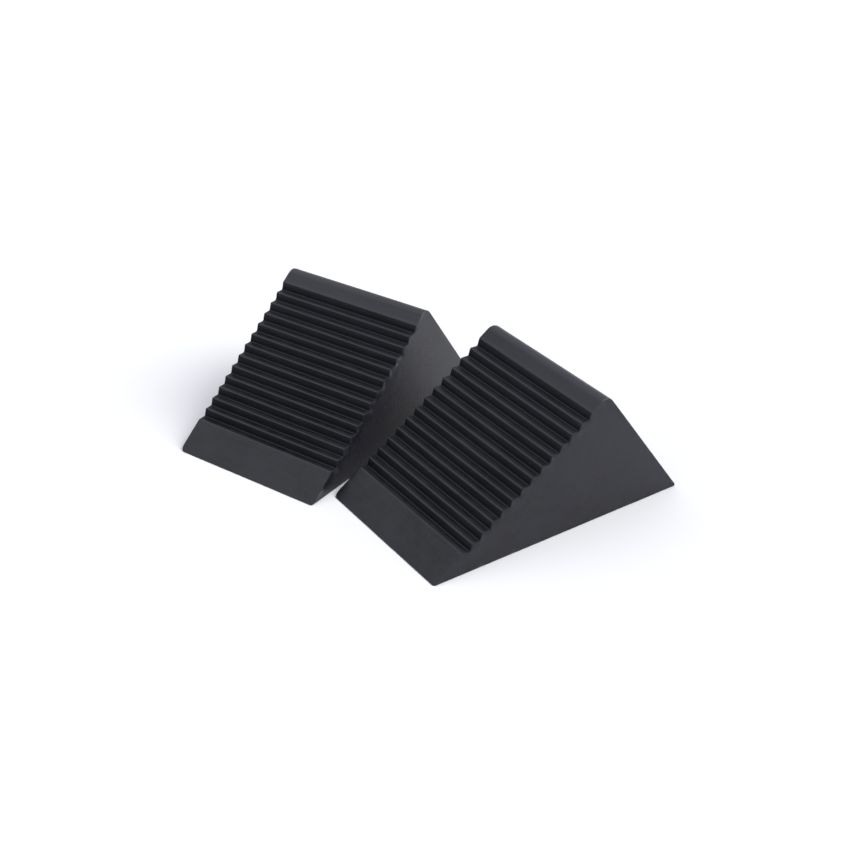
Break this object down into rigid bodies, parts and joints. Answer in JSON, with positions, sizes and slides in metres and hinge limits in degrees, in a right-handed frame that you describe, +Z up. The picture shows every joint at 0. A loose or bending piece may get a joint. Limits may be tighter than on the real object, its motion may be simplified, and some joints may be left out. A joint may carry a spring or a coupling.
{
  "type": "wheel chock",
  "caption": "Matched pair of solid rubber wedge chocks with a cross-ribbed tyre face, a plain toe strip, a rounded ridge and plain sides.",
  "frame": {"origin": "centre of the right chock's flat base, between its toe face and its heel corner", "axes": "+X along the right chock from its thin toe to its heel, +Y towards the left chock, +Z up"},
  "size_m": [0.2344, 0.2741, 0.0826],
  "materials": {
    "black_rubber": "matt moulded black rubber, faintly mottled, slightly paler on worn edges"
  },
  "bodies": {
    "right": {"right_chock": "black_rubber"},
    "left": {"left_chock": "black_rubber"}
  },
  "joints": [
    {"name": "left_chock_slide", "type": "slide", "parent": "right", "child": "left", "axis": [-0.3502, 0.9367, 0], "range_m": [0, 0.15]}
  ]
}
